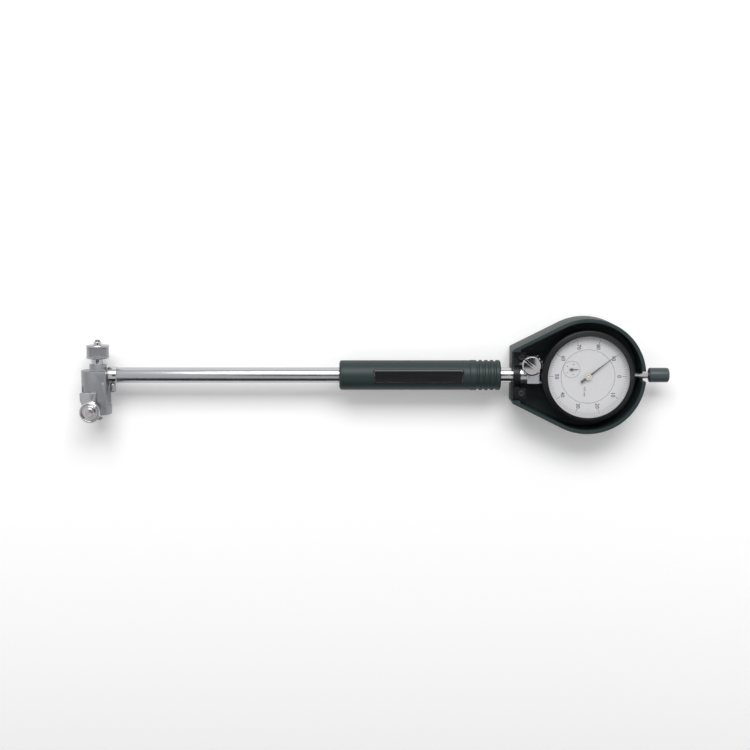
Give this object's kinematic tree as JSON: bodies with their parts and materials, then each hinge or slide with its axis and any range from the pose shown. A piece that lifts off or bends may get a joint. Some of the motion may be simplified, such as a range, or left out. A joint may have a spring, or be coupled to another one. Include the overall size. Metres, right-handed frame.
{
  "type": "dial bore gauge",
  "caption": "Two-point bore gauge: measuring head with anvil, contact and roller guide, long shaft with grip, and a dial indicator in a moulded guard.",
  "frame": {"origin": "centre of the indicator guard's flat back face, on the dial's axis", "axes": "+X from the measuring head along the shaft to the dial, +Y along the fixed anvil, +Z out of the dial's face"},
  "size_m": [0.3629, 0.071, 0.0322],
  "materials": {
    "head_steel": "satin",
    "polished_steel": "polished",
    "satin_chrome": "satin",
    "hard_metal": "polished",
    "grip_plastic": "satin",
    "black_plastic": "satin",
    "knob_plastic": "satin",
    "label_metal": "printed",
    "brass": "satin",
    "spring_steel": "bright",
    "case_metal": "satin",
    "dial_face": "matt",
    "hand_metal": "satin",
    "crystal_clear": "clear"
  },
  "bodies": {
    "gauge": {"head_body": "head_steel", "collet": "polished_steel", "anvil": "polished_steel", "anvil_tip": "hard_metal", "crank_pin": "polished_steel", "guide_springs": "spring_steel", "neck_ferrule": "polished_steel", "lock_screw": "satin_chrome", "main_tube": "satin_chrome", "tube_pin": "polished_steel", "rod_bush_lower": "brass", "rod_bush_upper": "brass", "rod_spring": "spring_steel", "grip_sleeve": "grip_plastic", "label_plate": "label_metal", "ribbed_end": "grip_plastic", "neck_sleeve": "polished_steel", "clamp_collar": "satin_chrome", "clamp_nut": "satin_chrome", "indicator_case": "case_metal", "back_cover": "black_plastic", "cover_screws": "polished_steel", "stem": "polished_steel", "top_bush": "polished_steel", "dial_disc": "dial_face", "rear_plate": "brass", "middle_plate": "brass", "front_plate": "brass", "movement_pillars": "brass", "guard_shell": "grip_plastic", "guard_strap": "black_plastic", "strap_screws": "polished_steel"},
    "contact": {"contact_plunger": "polished_steel", "contact_tip": "hard_metal"},
    "crank": {"bell_crank": "polished_steel"},
    "rod": {"push_rod": "polished_steel"},
    "spindle_set": {"spindle": "polished_steel", "spindle_point": "hard_metal", "lifting_knob": "knob_plastic"},
    "counter": {"counter_arbor": "brass", "counter_hand": "hand_metal"},
    "pointer": {"centre_arbor": "polished_steel", "main_hand": "hand_metal"},
    "guide": {"guide_yoke": "satin_chrome", "roller_screw_front": "polished_steel", "roller_screw_rear": "polished_steel"},
    "roller_front": {"guide_roller_front": "polished_steel"},
    "roller_rear": {"guide_roller_rear": "polished_steel"},
    "nut": {"collet_nut": "satin_chrome"},
    "thumb_screw": {"clamp_screw": "polished_steel"},
    "dial_bezel": {"bezel": "black_plastic", "dial_ring": "dial_face", "crystal": "crystal_clear"}
  },
  "joints": [
    {"name": "pointer_turn", "type": "hinge", "parent": "gauge", "child": "pointer", "pos_m": [0, 0, 0.0161], "axis": [0, 0, -1], "range_deg": [0, 436.32]},
    {"name": "contact_slide", "type": "slide", "parent": "gauge", "child": "contact", "axis": [0, 1, 0], "range_m": [0, 0.0012], "stiffness_N_per_m": 200},
    {"name": "crank_turn", "type": "hinge", "parent": "gauge", "child": "crank", "pos_m": [-0.2973, -0.0042, 0.0161], "axis": [0, 0, -1], "range_deg": [0, 16.53]},
    {"name": "rod_slide", "type": "slide", "parent": "gauge", "child": "rod", "axis": [1, 0, 0], "range_m": [0, 0.00121], "deforming": ["rod_spring"]},
    {"name": "spindle_slide", "type": "slide", "parent": "gauge", "child": "spindle_set", "axis": [1, 0, 0], "range_m": [0, 0.00121]},
    {"name": "counter_turn", "type": "hinge", "parent": "gauge", "child": "counter", "pos_m": [-0.01008, 0.0044, 0.0161], "axis": [0, 0, 1], "range_deg": [0, 43.63]},
    {"name": "guide_slide", "type": "slide", "parent": "gauge", "child": "guide", "axis": [0, 1, 0], "range_m": [0, 0.0025], "stiffness_N_per_m": 200, "deforming": ["guide_springs"]},
    {"name": "front_roller_turn", "type": "hinge", "parent": "guide", "child": "roller_front", "pos_m": [-0.3047, -0.0215, 0.0281], "axis": [0, 0, 1], "continuous": true},
    {"name": "rear_roller_turn", "type": "hinge", "parent": "guide", "child": "roller_rear", "pos_m": [-0.3047, -0.0215, 0.0041], "axis": [0, 0, 1], "continuous": true},
    {"name": "collet_nut_turn", "type": "hinge", "parent": "gauge", "child": "nut", "pos_m": [-0.3015, 0.0145, 0.0161], "axis": [0, 1, 0], "range_deg": [0, 360]},
    {"name": "clamp_screw_turn", "type": "hinge", "parent": "gauge", "child": "thumb_screw", "pos_m": [-0.0345, 0.0067, 0.0161], "axis": [0, 0, 1], "range_deg": [0, 360]},
    {"name": "bezel_turn", "type": "hinge", "parent": "gauge", "child": "dial_bezel", "pos_m": [0, 0, 0.0161], "axis": [0, 0, 1], "continuous": true}
  ],
  "couplings": [
    {"joint": "rod_slide", "follows": "contact_slide", "ratio": 1},
    {"joint": "spindle_slide", "follows": "contact_slide", "ratio": 1},
    {"joint": "crank_turn", "follows": "contact_slide", "rad_per_m": 238.1},
    {"joint": "counter_turn", "follows": "contact_slide", "rad_per_m": 628.32},
    {"joint": "pointer_turn", "follows": "contact_slide", "rad_per_m": 6283.2}
  ]
}
